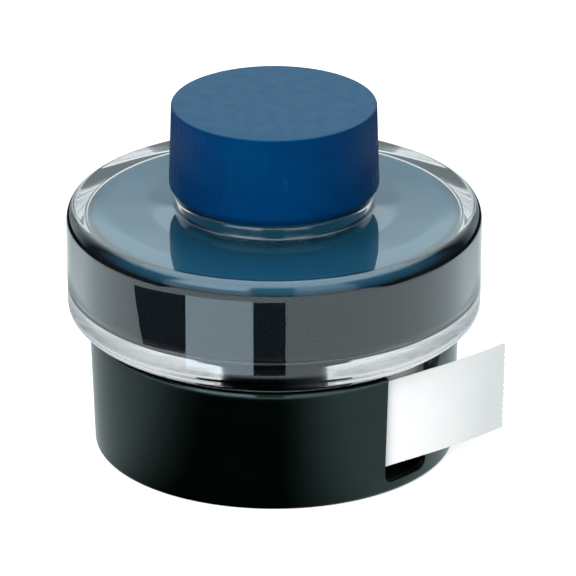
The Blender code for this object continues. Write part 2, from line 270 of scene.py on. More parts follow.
def make_object(name, bm, *materials, sharp=32.0):
    """A smooth-shaded object, with edges left sharp above an angle in degrees."""
    mesh = bpy.data.meshes.new(name)
    bm.to_mesh(mesh)
    bm.free()
    for material in materials:
        mesh.materials.append(material)
    mesh.shade_smooth()
    mesh.set_sharp_from_angle(angle=math.radians(sharp))
    obj = bpy.data.objects.new(name, mesh)
    bpy.context.collection.objects.link(obj)
    return obj


def cut_or_join(obj, bm, operation):
    """Applies one exact Boolean and leaves no helper behind."""
    helper = make_object("helper", bm)
    modifier = obj.modifiers.new(operation, "BOOLEAN")
    modifier.operation = operation
    modifier.object = helper
    modifier.solver = "EXACT"
    graph = bpy.context.evaluated_depsgraph_get()
    mesh = bpy.data.meshes.new_from_object(obj.evaluated_get(graph))
    obj.modifiers.clear()
    obj.data = mesh
    bpy.data.objects.remove(helper)


def box_mesh(size, centre, turn):
    """A box moved to its centre, then turned about Z."""
    bm = bmesh.new()
    place = Matrix.Rotation(turn, 4, "Z") @ Matrix.Translation(centre) @ Matrix.Diagonal((*size, 1.0))
    bmesh.ops.create_cube(bm, size=1.0, matrix=place)
    return bm


def thread_height(angle, z, bottom, turns):
    """How much of the full thread stands at this place on the wall, from 0 to 1."""
    tallest = 0.0
    turn = angle / math.tau
    for whole in range(-1, int(turns) + 2):
        along = turn + whole
        if not 0.0 <= along <= turns:
            continue
        off = abs(z - bottom - THREAD_PITCH * along)
        end = smooth(min(along, turns - along) / THREAD_RUN_OUT)
        flank = (THREAD_ROOT_HALF - off) / (THREAD_ROOT_HALF - THREAD_CREST_HALF)
        tallest = max(tallest, smooth(flank) * end)
    return tallest


def cavity_outline(grow=0.0):
    """Inside of the glass from the well's floor up to the wall, or the ink just inside it."""
    well = WELL_RADIUS + grow
    floor = WELL_BOTTOM - grow
    wall = CAVITY_RADIUS + grow
    low = CAVITY_BOTTOM - grow
    outline = [(0.0, floor)]
    outline += arc((well - WELL_ROUND, floor + WELL_ROUND), (WELL_ROUND, WELL_ROUND), -90, 0)
    outline += arc((well + WELL_LIP, low - WELL_LIP), (WELL_LIP, WELL_LIP), 180, 90, 6)
    corner = (wall - CAVITY_LOWER_ROUND, low + CAVITY_LOWER_ROUND)
    outline += arc(corner, (CAVITY_LOWER_ROUND, CAVITY_LOWER_ROUND), -90, 0, 14)
    return outline


# --------------------------------------------------------------------------------------- materials


def node(tree, kind, sockets=None, **settings):
    """A new node. A socket in sockets is linked and anything else is set as its value."""
    made = tree.nodes.new(kind)
    for name, value in settings.items():
        setattr(made, name, value)
    for name, value in (sockets or {}).items():
        if isinstance(value, bpy.types.NodeSocket):
            tree.links.new(value, made.inputs[name])
        else:
            made.inputs[name].default_value = value
    return made


def maths(tree, operation, *values):
    """One step of arithmetic on sockets or plain numbers."""
    return node(tree, "ShaderNodeMath", dict(enumerate(values)), operation=operation).outputs[0]


def along_axis(tree, vector, axis):
    """The X, Y or Z of a vector."""
    return node(tree, "ShaderNodeSeparateXYZ", {"Vector": vector}).outputs[axis]


def place_of(tree, stretch=(1, 1, 1)):
    """Where a point is on its own piece, so that a pattern moves with it."""
    where = node(tree, "ShaderNodeTexCoord").outputs["Object"]
    if stretch == (1, 1, 1):
        return where
    return node(tree, "ShaderNodeMapping", {"Vector": where, "Scale": stretch}).outputs["Vector"]


def cloud(tree, scale, detail=3.0, stretch=(1, 1, 1), rough=0.5):
    """Noise over the piece, mostly between 0.3 and 0.7."""
    sockets = {"Vector": place_of(tree, stretch), "Scale": scale, "Detail": detail, "Roughness": rough}
    return node(tree, "ShaderNodeTexNoise", sockets).outputs["Fac"]


def spread(tree, value, low, high, start=0.3, end=0.7):
    """Low where the value is at the start or below, high where it is at the end or above."""
    sockets = {"Value": value, "From Min": start, "From Max": end, "To Min": low, "To Max": high}
    return node(tree, "ShaderNodeMapRange", sockets).outputs["Result"]


def blend_colours(tree, factor, one, two):
    """Colour one where the factor is 0 and two where it is 1.

    A Mix node has sockets for every kind of value: inputs 6 and 7 and output 2 are its colours.
    """
    made = tree.nodes.new("ShaderNodeMix")
    made.data_type = "RGBA"
    tree.links.new(factor, made.inputs[0])
    for slot, colour in ((6, one), (7, two)):
        if isinstance(colour, bpy.types.NodeSocket):
            tree.links.new(colour, made.inputs[slot])
        else:
            made.inputs[slot].default_value = (*colour, 1.0)
    return made.outputs[2]


def bump(tree, height, strength, distance, under=None):
    """Surface relief from a pattern, over another relief if there is one."""
    sockets = {"Height": height, "Strength": strength, "Distance": distance}
    if under is not None:
        sockets["Normal"] = under
    return node(tree, "ShaderNodeBump", sockets).outputs["Normal"]


def worn_edges(tree, scale, amount):
    """A broken line along the outer edges, from 0 to amount."""
    edge = node(tree, "ShaderNodeNewGeometry").outputs["Pointiness"]
    edge = spread(tree, edge, 0.0, amount, 0.53, 0.62)
    patchy = spread(tree, cloud(tree, scale, 4.0), 0.0, 1.0, 0.42, 0.62)
    return maths(tree, "MULTIPLY", edge, patchy)


def start_material(name, **sockets):
    """A material with uniform values set on its shader. An underscore in a socket's name is a space."""
    material = bpy.data.materials.new(name)
    material.use_nodes = True
    tree = material.node_tree
    shader = tree.nodes["Principled BSDF"]
    for label, value in sockets.items():
        shader.inputs[label.replace("_", " ")].default_value = value
    return material, tree, shader


def wire(tree, shader, colour, roughness, normal):
    """Links the three patterns that every piece's material has."""
    tree.links.new(colour, shader.inputs["Base Color"])
    tree.links.new(roughness, shader.inputs["Roughness"])
    tree.links.new(normal, shader.inputs["Normal"])


def plastic(name, dark, light, worn, roughness, grain, painted_top_light=None, **sockets):
    """Moulded plastic: faint flow marks in the colour, uneven satin, fine grain, and scuffed edges. Upward
    faces may take a lighter top colour, which is painted light.
    """
    material, tree, shader = start_material(name, **sockets)
    flow = spread(tree, cloud(tree, 90, 4.0, (1, 1, 2.2)), 0.0, 1.0)
    body = blend_colours(tree, flow, dark, light)
    # Painted light: faces that point up are blended to the top colour, as if lit from above.
    if painted_top_light:
        upward = along_axis(tree, node(tree, "ShaderNodeTexCoord").outputs["Normal"], "Z")
        body = blend_colours(tree, spread(tree, upward, 0.0, 1.0, 0.6, 0.95), body, painted_top_light)
    colour = blend_colours(tree, worn_edges(tree, 900, 0.15), body, worn)
    satin = spread(tree, cloud(tree, 420, 5.0, rough=0.62), *roughness)
    waves = bump(tree, cloud(tree, 150, 2.0), 0.05, 0.4 * MM)
    fine = bump(tree, cloud(tree, 3200, 2.0), grain, 0.05 * MM, waves)
    wire(tree, shader, colour, satin, fine)
    return material


def clear_glass(name, ior):
    """Pressed glass: a slow ripple from the mould, and faint handling smears."""
    material, tree, shader = start_material(name, Transmission_Weight=1.0, IOR=ior)
    tint = spread(tree, cloud(tree, 45, 2.0), 0.0, 1.0)
    colour = blend_colours(tree, tint, (0.955, 0.982, 0.985), (0.975, 0.992, 0.992))
    smear = spread(tree, cloud(tree, 130, 5.0, (1, 1, 0.5), 0.65), 0.0, 0.012, 0.56, 0.78)
    ripple = bump(tree, cloud(tree, 55, 1.0, (1, 1, 0.7)), 0.04, 0.5 * MM)
    wire(tree, shader, colour, smear, ripple)
    return material


def stippled_glass():
    """The disc's underside as it leaves the mould: finely pebbled, so it scatters what it mirrors."""
    material, tree, shader = start_material("stippled_glass", Transmission_Weight=1.0, IOR=GLASS_IOR)
    tint = spread(tree, cloud(tree, 60, 2.0), 0.0, 1.0)
    colour = blend_colours(tree, tint, (0.90, 0.94, 0.94), (0.95, 0.975, 0.975))
    dull = spread(tree, cloud(tree, 160, 4.0), 0.10, 0.24)
    pebbles = bump(tree, cloud(tree, 330, 3.0), 0.25, 0.3 * MM)
    wire(tree, shader, colour, dull, pebbles)
    return material


def ink_body():
    """The ink behind glass: nearly black through the wall, blue where light comes in from above.

    The blue is painted, by which way the surface faces and by height in the neck.
    """
    material, tree, shader = start_material("ink_deep", Specular_IOR_Level=0.0)
    depth = spread(tree, cloud(tree, 60, 3.0), 0.0, 1.0)
    deep = blend_colours(tree, depth, (0.003, 0.006, 0.010), (0.005, 0.010, 0.016))
    lit = blend_colours(tree, depth, (0.028, 0.180, 0.315), (0.036, 0.212, 0.352))
    upward = along_axis(tree, node(tree, "ShaderNodeNewGeometry").outputs["Normal"], "Z")
    facing = spread(tree, upward, 0.0, 1.0, 0.78, 0.98)
    height = along_axis(tree, place_of(tree), "Z")
    neck = spread(tree, height, 0.0, 1.0, CAVITY_TOP, CAVITY_TOP + INK_NECK_FADE)
    colour = blend_colours(tree, maths(tree, "MAXIMUM", facing, neck), deep, lit)
    tree.links.new(colour, shader.inputs["Base Color"])
    tree.links.new(spread(tree, cloud(tree, 200, 3.0), 0.5, 0.7), shader.inputs["Roughness"])
    return material


def ink_surface():
    """The ink's own top, where light gets a little way in and comes back blue."""
    material, tree, shader = start_material("ink_surface", IOR=1.34)
    depth = spread(tree, cloud(tree, 70, 3.0), 0.0, 1.0)
    colour = blend_colours(tree, depth, (0.006, 0.085, 0.155), (0.010, 0.105, 0.185))
    gloss = spread(tree, cloud(tree, 300, 2.0), 0.01, 0.04)
    swell = bump(tree, cloud(tree, 60, 1.0), 0.03, 0.3 * MM)
    wire(tree, shader, colour, gloss, swell)
    return material


def paper(name, rings=False, painted_end_shade=False):
    """Absorbent paper: soft fibres, a little uneven.

    Rings are the edges of a roll's turns, with painted shade in the grooves between them. The strip's
    paper greys towards its free end, which is painted shade.
    """
    material, tree, shader = start_material(name, Specular_IOR_Level=0.25)
    fibres = cloud(tree, 900, 6.0, (0.35, 0.35, 1.3), 0.7)
    mottle = spread(tree, cloud(tree, 260, 5.0), 0.0, 1.0)
    colour = blend_colours(tree, mottle, (0.86, 0.87, 0.865), (0.90, 0.905, 0.895))
    fine = bump(tree, fibres, 0.25, 0.06 * MM)
    if painted_end_shade:
        # Painted shade: the paper greys towards its free end, as if less light reaches the curl.
        along = along_axis(tree, place_of(tree), "X")
        end_shade_mask = spread(tree, along, 0.0, 1.0, *END_SHADE_REACH)
        colour = blend_colours(tree, end_shade_mask, colour, (0.65, 0.675, 0.67))
    if rings:
        where = place_of(tree)
        level = {"X": along_axis(tree, where, "X"), "Y": along_axis(tree, where, "Y")}
        flat = node(tree, "ShaderNodeCombineXYZ", level).outputs[0]
        radius = node(tree, "ShaderNodeVectorMath", {0: flat}, operation="LENGTH").outputs["Value"]
        wave = maths(tree, "SINE", maths(tree, "MULTIPLY", radius, math.tau / (2 * TAPE_THICKNESS)))
        uneven = maths(tree, "MULTIPLY", wave, cloud(tree, 500, 3.0))
        # Painted shade: the paper is darker in the grooves between the roll's turns.
        painted_gap_shade = spread(tree, uneven, 0.0, 0.45, 0.1, 0.6)
        colour = blend_colours(tree, painted_gap_shade, colour, (0.55, 0.55, 0.53))
        fine = bump(tree, uneven, 0.35, 0.1 * MM, fine)
    wire(tree, shader, colour, spread(tree, fibres, 0.78, 0.95), fine)
    return material


def card_board():
    """Grey-brown board of the roll's sleeve, with darker flecks."""
    material, tree, shader = start_material("grey_card", Specular_IOR_Level=0.2)
    mottle = spread(tree, cloud(tree, 300, 5.0), 0.0, 1.0)
    body = blend_colours(tree, mottle, (0.33, 0.28, 0.22), (0.46, 0.40, 0.32))
    flecks = spread(tree, cloud(tree, 1500, 2.0, (1, 1, 0.4)), 0.0, 0.7, 0.62, 0.72)
    colour = blend_colours(tree, flecks, body, (0.18, 0.15, 0.12))
    rough = spread(tree, cloud(tree, 700, 3.0), 0.8, 0.95)
    wire(tree, shader, colour, rough, bump(tree, cloud(tree, 1100, 5.0), 0.3, 0.08 * MM))
    return material


def foam():
    """Fine closed foam of the cap's liner, with a little ink soaked into it."""
    material, tree, shader = start_material("liner_foam", Specular_IOR_Level=0.3)
    mottle = spread(tree, cloud(tree, 250, 4.0), 0.0, 1.0)
    body = blend_colours(tree, mottle, (0.70, 0.72, 0.70), (0.79, 0.80, 0.78))
    stain = spread(tree, cloud(tree, 170, 4.0), 0.0, 0.55, 0.58, 0.72)
    colour = blend_colours(tree, stain, body, (0.10, 0.20, 0.34))
    rough = spread(tree, cloud(tree, 900, 3.0), 0.6, 0.82)
    cells = node(tree, "ShaderNodeTexVoronoi", {"Vector": place_of(tree), "Scale": 2600.0})
    wire(tree, shader, colour, rough, bump(tree, cells.outputs["Distance"], 0.3, 0.06 * MM))
    return material


# ------------------------------------------------------------------------------------------ pieces


def build_glass():
    """The bottle as one pressed piece: well, disc, collar and threaded neck, inside and out."""
    low_r, low_z = DISC_LOWER_ROUND
    up_r, up_z = DISC_UPPER_ROUND
    fillet = COLLAR_FILLET
    lip_half = 0.5 * (NECK_RADIUS - MOUTH_RADIUS)
    outline = [(0.0, NUB_BOTTOM), (0.5 * (NUB_RADIUS - NUB_ROUND), NUB_BOTTOM)]
    outline += arc((NUB_RADIUS - NUB_ROUND, NUB_BOTTOM + NUB_ROUND), (NUB_ROUND, NUB_ROUND), -90, 0)
    outline += arc((NUB_RADIUS + fillet, DISC_BOTTOM - fillet), (fillet, fillet), 180, 90, 6)
    outline += [(radius, DISC_BOTTOM) for radius in UNDERSIDE_RINGS]
    outline += arc((DISC_RADIUS_BOTTOM - low_r, DISC_BOTTOM + low_z), (low_r, low_z), -90, 0, 24)
    wall_low, wall_high = DISC_BOTTOM + low_z, DISC_TOP - up_z
    for step in range(1, WALL_STEPS):
        share = step / WALL_STEPS
        radius = DISC_RADIUS_BOTTOM + (DISC_RADIUS_TOP - DISC_RADIUS_BOTTOM) * share
        outline.append((radius, wall_low + (wall_high - wall_low) * share))
    outline += arc((DISC_RADIUS_TOP - up_r, DISC_TOP - up_z), (up_r, up_z), 0, 90, 16)
    outline += [(radius, DISC_TOP) for radius in DISC_TOP_RINGS]
    outline += arc((COLLAR_RADIUS_BOTTOM + fillet, DISC_TOP + fillet), (fillet, fillet), 270, 180, 6)
    outline += arc((COLLAR_RADIUS_TOP - fillet, COLLAR_TOP - fillet), (fillet, fillet), 0, 90, 6)
    outline += rows_between(NECK_RADIUS, COLLAR_TOP, LIP_TOP - LIP_ROUND, GLASS_THREAD_ROWS)
    outline += arc((NECK_RADIUS - lip_half, LIP_TOP - LIP_ROUND), (lip_half, LIP_ROUND), 0, 180, 12)[1:]
    first_wet = len(outline)
    outline.append((MOUTH_RADIUS, INK_LEVEL))
    outline += arc((MOUTH_RADIUS + fillet, CAVITY_TOP + fillet), (fillet, fillet), 180, 270, 6)
    shoulder = (CAVITY_RADIUS - CAVITY_UPPER_ROUND, CAVITY_TOP - CAVITY_UPPER_ROUND)
    outline += arc(shoulder, (CAVITY_UPPER_ROUND, CAVITY_UPPER_ROUND), 90, 0, 12)
    outline += list(reversed(cavity_outline()))

    def threaded(r, z, angle):
        """The thread stands on the neck's outside only."""
        if abs(r - NECK_RADIUS) > NEGLIGIBLE or z < COLLAR_TOP:
            return r, z
        tall = thread_height(angle, z, GLASS_THREAD_BOTTOM, GLASS_THREAD_TURNS)
        return r + (GLASS_THREAD_CREST - NECK_RADIUS) * tall, z

    bm = lathe(outline, reshape=threaded)
    for index, face in enumerate(bm.faces):
        face.material_index = int(index // ROUND_STEPS >= first_wet)
        on_underside = abs(face.calc_center_median().z - DISC_BOTTOM) < 0.1 * MM
        if on_underside and face.normal.z < -0.95:
            face.material_index = 2
    dry = clear_glass("clear_glass", GLASS_IOR)
    wet = clear_glass("wetted_glass", GLASS_IOR / INK_IOR)
    bottle = make_object("bottle_glass", bm, dry, wet, stippled_glass(), sharp=60)
    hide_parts("glass_bottle")
    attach(bottle, "bottle")


def build_ink():
    """The ink fills the disc and stands in the neck, where it climbs a little at the wall.

    It lies just inside the wetted faces of the glass, which bend light as glass against ink does.
    """
    shoulder = (CAVITY_RADIUS - CAVITY_UPPER_ROUND, CAVITY_TOP - CAVITY_UPPER_ROUND)
    shoulder_round = CAVITY_UPPER_ROUND - INK_INSET
    neck_corner = (MOUTH_RADIUS + COLLAR_FILLET, CAVITY_TOP + COLLAR_FILLET)
    neck_round = COLLAR_FILLET + INK_INSET
    outline = cavity_outline(-INK_INSET)
    outline += arc(shoulder, (shoulder_round, shoulder_round), 0, 90, 12)
    outline += [(radius, CAVITY_TOP - INK_INSET) for radius in INK_TOP_RINGS]
    outline += arc(neck_corner, (neck_round, neck_round), 270, 180, 6)
    wall = MOUTH_RADIUS - INK_INSET
    for step in range(MENISCUS_STEPS + 1):
        away = step / MENISCUS_STEPS
        drop = MENISCUS_RISE * (1 - math.exp(-MENISCUS_FALL * away))
        outline.append((wall - MENISCUS_WIDTH * away, INK_LEVEL - drop))
    low_surface = outline[-1][1]
    outline += [(5 * MM, low_surface), (0.0, low_surface)]
    bm = lathe(outline)
    for face in bm.faces:
        height = face.calc_center_median().z
        if height > INK_LEVEL - 1.2 * MENISCUS_RISE and face.normal.z > 0.2:
            face.material_index = 1
    ink = make_object("ink_fill", bm, ink_body(), ink_surface(), sharp=50)
    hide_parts("ink")
    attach(ink, "bottle")


def build_cap():
    """Faceted screw cap with a moulded line between facets and a thread inside."""
    edge = CAP_EDGE
    outline = [(0.0, CAP_TOP)] + [(radius, CAP_TOP) for radius in CAP_TOP_RINGS]
    outline += arc((CAP_RADIUS_TOP - edge, CAP_TOP - edge), (edge, edge), 90, 0, 8)
    for step in range(1, CAP_SIDE_STEPS + 1):
        share = step / CAP_SIDE_STEPS
        height = CAP_TOP - edge + (CAP_CHAMFER_TOP - CAP_TOP + edge) * share
        outline.append((CAP_RADIUS_TOP + (CAP_RADIUS_WIDEST - CAP_RADIUS_TOP) * share, height))
    round_edge = 0.25 * MM
    outline += [
        (CAP_RADIUS_WIDEST - 0.05 * MM, CAP_CHAMFER_TOP - round_edge),
        (CAP_RADIUS_BOTTOM + round_edge, CAP_BOTTOM + 0.3 * MM),
        (CAP_RADIUS_BOTTOM, CAP_BOTTOM),
        (CAP_BORE + edge, CAP_BOTTOM),
    ]
    outline += rows_between(CAP_BORE, CAP_BOTTOM + edge, CAP_CEILING, CAP_THREAD_ROWS)
    outline += [(12 * MM, CAP_CEILING), (0.0, CAP_CEILING)]

    def shaped(r, z, angle):
        """The thread stands in the bore, and the facets and their lines on the outside."""
        if abs(r - CAP_BORE) < NEGLIGIBLE and z > CAP_BOTTOM:
            tall = thread_height(angle, z, CAP_THREAD_BOTTOM, CAP_THREAD_TURNS)
            return r - (CAP_BORE - CAP_THREAD_CREST) * tall, z
        if r < CAP_RADIUS_TOP - 0.5 * edge or z < CAP_BOTTOM + 0.2 * MM:
            return r, z
        share = (angle / math.tau * CAP_FACETS) % 1.0
        off = abs(share - 0.5)
        flat = r * (math.cos(math.pi / CAP_FACETS) / math.cos((share - 0.5) * math.tau / CAP_FACETS) - 1)
        line = smooth((off - 0.5 + CAP_LINE_SHARE) / CAP_LINE_SHARE)
        fade = smooth((CAP_TOP - z) / (1.6 * edge)) * smooth((z - CAP_BOTTOM) / (0.6 * MM))
        return r + (flat - CAP_LINE_DEPTH * line) * fade, z

    blue = plastic(
        "blue_plastic",
        dark=(0.0, 0.0195, 0.077),
        light=(0.0, 0.0255, 0.095),
        worn=(0.01, 0.09, 0.20),
        roughness=(0.34, 0.46),
        grain=0.25,
        # Painted light from above on the cap's top faces.
        painted_top_light=(0.004, 0.041, 0.094),
        IOR=1.22,
        Specular_Tint=(0.0, 0.7, 1.0, 1.0),
    )
    shell = lathe(outline, CAP_FACETS * CAP_FACET_STEPS, reshape=shaped)
    cap = make_object("cap_shell", shell, blue, sharp=40)
    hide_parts("screw_cap")
    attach(cap, "cap")


def build_liner():
    """Sealing disc, pressed in where it sits on the lip."""
    outer = liner_high.x
    low, high = liner_low.z, liner_high.z
    lip = 0.5 * (NECK_RADIUS + MOUTH_RADIUS)
    outline = [(0.0, low)]
    for step in range(1, LINER_STEPS):
        r = (outer - LINER_EDGE) * step / LINER_STEPS
        outline.append((r, low + LINER_DENT * smooth(1 - abs(r - lip) / LINER_DENT_HALF)))
    edge = (LINER_EDGE, LINER_EDGE)
    outline += arc((outer - LINER_EDGE, low + LINER_EDGE), edge, -90, 0, 4)
    outline += arc((outer - LINER_EDGE, high - LINER_EDGE), edge, 0, 90, 4)
    outline += [(8 * MM, high), (0.0, high)]
    liner = make_object("sealing_liner", lathe(outline), foam())
    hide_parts("cap_liner")
    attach(liner, "cap_seal")


def slot_prism():
    """What the tape's slot takes out of the base: rounded below, and open above."""
    first, last = (math.radians(angle) for angle in SLOT_ANGLES)
    half = BASE_RADIUS_TOP * math.sin(0.5 * (last - first))
    shape = [(half, BASE_HEIGHT + SLOT_CORNER), (-half, BASE_HEIGHT + SLOT_CORNER)]
    low = SLOT_SILL + SLOT_CORNER
    shape += arc((-half + SLOT_CORNER, low), (SLOT_CORNER, SLOT_CORNER), 180, 270)
    shape += arc((half - SLOT_CORNER, low), (SLOT_CORNER, SLOT_CORNER), -90, 0)
    near = BASE_RADIUS_BOTTOM - 3 * BASE_WALL
    far = BASE_RADIUS_TOP + BASE_WALL
    bm = bmesh.new()
    face = bm.faces.new([bm.verts.new((x, -near, z)) for x, z in shape])
    pushed = bmesh.ops.extrude_face_region(bm, geom=[face])
    moved = [item for item in pushed["geom"] if isinstance(item, bmesh.types.BMVert)]
    bmesh.ops.translate(bm, verts=moved, vec=(0, near - far, 0))
    turn = Matrix.Rotation(0.5 * (first + last), 3, "Z")
    bmesh.ops.rotate(bm, verts=bm.verts, cent=(0, 0, 0), matrix=turn)
    bmesh.ops.recalc_face_normals(bm, faces=bm.faces)
    return bm


def build_base():
    """Plastic cup with the hub, its four spring slots, six rest ribs and the slot for the tape."""
    slope = (BASE_RADIUS_TOP - BASE_RADIUS_BOTTOM) / BASE_HEIGHT
    inner_bottom = BASE_RADIUS_BOTTOM + slope * BASE_FLOOR - BASE_WALL
    inner_top = BASE_RADIUS_TOP - BASE_WALL
    edge_centre = (BASE_RADIUS_BOTTOM + slope * BASE_EDGE - BASE_EDGE, BASE_EDGE)
    bore = HUB_RADIUS - HUB_WALL
    inside = BASE_INNER_ROUND
    lip = BASE_LIP_ROUND
    outline = [(0.0, RECESS_HEIGHT), (RECESS_RADIUS, RECESS_HEIGHT), (FOOT_INNER, 0.0), (FOOT_OUTER, 0.0)]
    outline += arc(edge_centre, (BASE_EDGE, BASE_EDGE), -90, 0)
    outline += [(BASE_RADIUS_BOTTOM + slope * z, z) for z in BASE_SIDE_RINGS]
    outline += arc((BASE_RADIUS_TOP - BASE_RIM, BASE_HEIGHT - BASE_RIM), (BASE_RIM, BASE_RIM), 0, 90, 5)
    outline += arc((inner_top + lip, BASE_HEIGHT - lip), (lip, lip), 90, 180, 4)
    outline += arc((inner_bottom - inside, BASE_FLOOR + inside), (inside, inside), 0, -90, 5)
    outline += arc((HUB_RADIUS + inside, BASE_FLOOR + inside), (inside, inside), 270, 180, 5)
    outline += arc((HUB_RADIUS - BASE_RIM, HUB_TOP - BASE_RIM), (BASE_RIM, BASE_RIM), 0, 90, 5)
    outline += arc((bore + BASE_RIM, HUB_TOP - BASE_RIM), (BASE_RIM, BASE_RIM), 90, 180, 5)
    outline += [(bore, BASE_FLOOR), (0.0, BASE_FLOOR)]
    black = plastic(
        "black_plastic",
        dark=(0.0001, 0.0010, 0.0005),
        light=(0.0004, 0.0019, 0.0011),
        worn=(0.03, 0.035, 0.035),
        roughness=(0.06, 0.10),
        grain=0.06,
        Specular_Tint=(0.72, 1.0, 0.97, 1.0),
    )
    base = make_object("base_cup", lathe(outline), black, sharp=BASE_SHARP)
    rib_inner = HUB_RADIUS - 0.5 * HUB_WALL
    rib_outer = BASE_RADIUS_BOTTOM - 0.5 * BASE_WALL
    rib_size = (rib_outer - rib_inner, REST_RIB_WIDTH, REST_RIB_TOP - 0.5 * BASE_FLOOR)
    rib_centre = (0.5 * (rib_outer + rib_inner), 0.0, 0.5 * (REST_RIB_TOP + 0.5 * BASE_FLOOR))
    for index in range(REST_RIBS):
        turn = math.tau * (index + 0.5) / REST_RIBS
        cut_or_join(base, box_mesh(rib_size, rib_centre, turn), "UNION")
    slot_size = (3 * HUB_WALL, HUB_SLOT_WIDTH, HUB_TOP - HUB_SLOT_BOTTOM + 4 * MM)
    slot_centre = (HUB_RADIUS - 0.5 * HUB_WALL, 0.0, HUB_SLOT_BOTTOM + 0.5 * slot_size[2])
    for index in range(HUB_SLOTS):
        turn = math.tau * (index + 0.5) / HUB_SLOTS
        cut_or_join(base, box_mesh(slot_size, slot_centre, turn), "DIFFERENCE")
    cut_or_join(base, slot_prism(), "DIFFERENCE")
    base.data.shade_smooth()
    base.data.set_sharp_from_angle(angle=math.radians(BASE_SHARP))
    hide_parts("base_housing")
    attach(base, "base")


def build_roll():
    """The wound paper, its turns standing a little proud of each other."""
    low, high = roll_low.z, roll_high.z
    outer = roll_high.x
    layer = (outer - ROLL_INNER) / ROLL_LAYERS
    face = []
    for turn in range(ROLL_LAYERS):
        proud = LAYER_PROUD * (noise.noise(Vector((0.37 * turn, 2.3, 0.7))) - 1.0)
        face.append((ROLL_INNER + layer * turn, proud))
        face.append((ROLL_INNER + layer * (turn + 0.8), proud))
        face.append((ROLL_INNER + layer * (turn + 0.9), proud - LAYER_GAP_DEPTH))
    outline = [(r, high + rise) for r, rise in face]
    outline += [(outer, high - ROLL_EDGE), (outer, low + ROLL_EDGE)]
    outline += [(r, low - rise) for r, rise in reversed(face)]

    def waved(r, z, angle):
        """Each face swells and dips by a little, and the two mirror each other."""
        spot = Vector((0.36 * r / MM, 1.5 * math.cos(angle), 1.5 * math.sin(angle)))
        wander = ROLL_WANDER * noise.noise(spot)
        return r, z + (wander if z > 0.5 * (low + high) else -wander)

    wound = lathe(outline, ROLL_STEPS, closed=True, reshape=waved)
    roll = make_object("wound_paper", wound, paper("roll_paper", rings=True))
    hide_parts("paper_roll")
    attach(roll, "roll")


def build_core():
    """The card sleeve that the paper is wound on."""
    low, high = core_low.z, core_high.z
    inner, outer = CORE_INNER + CORE_EDGE, core_high.x - CORE_EDGE
    edge = (CORE_EDGE, CORE_EDGE)
    outline = arc((inner, low + CORE_EDGE), edge, 180, 270, 3)
    outline += arc((outer, low + CORE_EDGE), edge, -90, 0, 3)
    outline += arc((outer, high - CORE_EDGE), edge, 0, 90, 3)
    outline += arc((inner, high - CORE_EDGE), edge, 90, 180, 3)
    sleeve = make_object("card_sleeve", lathe(outline, ROLL_STEPS, closed=True), card_board())
    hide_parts("roll_core")
    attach(sleeve, "roll")


def tape_path():
    """Middle line of the free end seen from above, inner end first: (x, y, direction in radians)."""
    path = []
    for step in range(TAPE_TAIL_STEPS):
        angle = math.radians(TAPE_TAIL_ANGLE) * (step / TAPE_TAIL_STEPS - 1)
        path.append((TAPE_LINE * math.sin(angle), -TAPE_LINE * math.cos(angle), angle))
    for step in range(TAPE_STRAIGHT_STEPS + 1):
        path.append((TAPE_STRAIGHT_END * step / TAPE_STRAIGHT_STEPS, -TAPE_LINE, 0.0))
    for step in range(1, TAPE_CURL_STEPS + 1):
        angle = TAPE_CURL_LENGTH / TAPE_CURL_RADIUS * step / TAPE_CURL_STEPS
        x = TAPE_STRAIGHT_END + TAPE_CURL_RADIUS * math.sin(angle)
        path.append((x, -TAPE_LINE + TAPE_CURL_RADIUS * (1 - math.cos(angle)), angle))
    return path


def torn_reach(level):
    """How far the torn end reaches out at this level: a row of uneven teeth."""
    share = (level / TAPE_TOOTH_STEPS) % 1.0
    uneven = 0.75 + 0.25 * noise.noise(Vector((0.9 * level, 5.1, 0.3)))
    return TAPE_TOOTH_DEPTH * (1 - abs(2 * share - 1)) * uneven


def build_strip():
    """The free end of the paper: one thin sheet with a torn, toothed edge."""
    lean = (BASE_RADIUS_TOP - BASE_RADIUS_BOTTOM) / BASE_HEIGHT
    low, high = strip_low.z, strip_high.z
    middle = 0.5 * (low + high)
    path = tape_path()
    levels = TAPE_TOOTH_STEPS * TAPE_TEETH
    last = len(path) - 1
    bm = bmesh.new()
    sides = []
    for across in (-0.5 * TAPE_THICKNESS, 0.5 * TAPE_THICKNESS):
        columns = []
        for index, (x, y, turn) in enumerate(path):
            free = smooth((x - COCKLE_START) / COCKLE_REACH)
            column = []
            for level in range(levels + 1):
                z = low + (high - low) * level / levels
                reach = torn_reach(level) if index == last else 0.0
                spot = Vector((x / COCKLE_LENGTH, z / COCKLE_HEIGHT, 1.7))
                off = across + TAPE_COCKLE * free * noise.noise(spot)
                place = (
                    x + off * math.sin(turn) + reach * math.cos(turn),
                    y - off * math.cos(turn) + reach * math.sin(turn) - lean * (z - middle),
                    z,
                )
                column.append(bm.verts.new(place))
            columns.append(column)
        sides.append(columns)
    for columns in sides:
        for near, far in zip(columns, columns[1:]):
            for level in range(levels):
                bm.faces.new((near[level], far[level], far[level + 1], near[level + 1]))
    inner, outer = sides
    rims = [((index, level), (index + 1, level)) for index in range(last) for level in (0, levels)]
    rims += [((index, level), (index, level + 1)) for index in (0, last) for level in range(levels)]
    for (a, b), (c, d) in rims:
        bm.faces.new((inner[a][b], inner[c][d], outer[c][d], outer[a][b]))
    bmesh.ops.recalc_face_normals(bm, faces=bm.faces)
    # Its paper is painted greyer towards the free end: painted shade.
    strip = make_object("paper_tape", bm, paper("strip_paper", painted_end_shade=True), sharp=50)
    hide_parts("paper_strip")
    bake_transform(strip)


# ------------------------------------------------------------------------------- light and camera


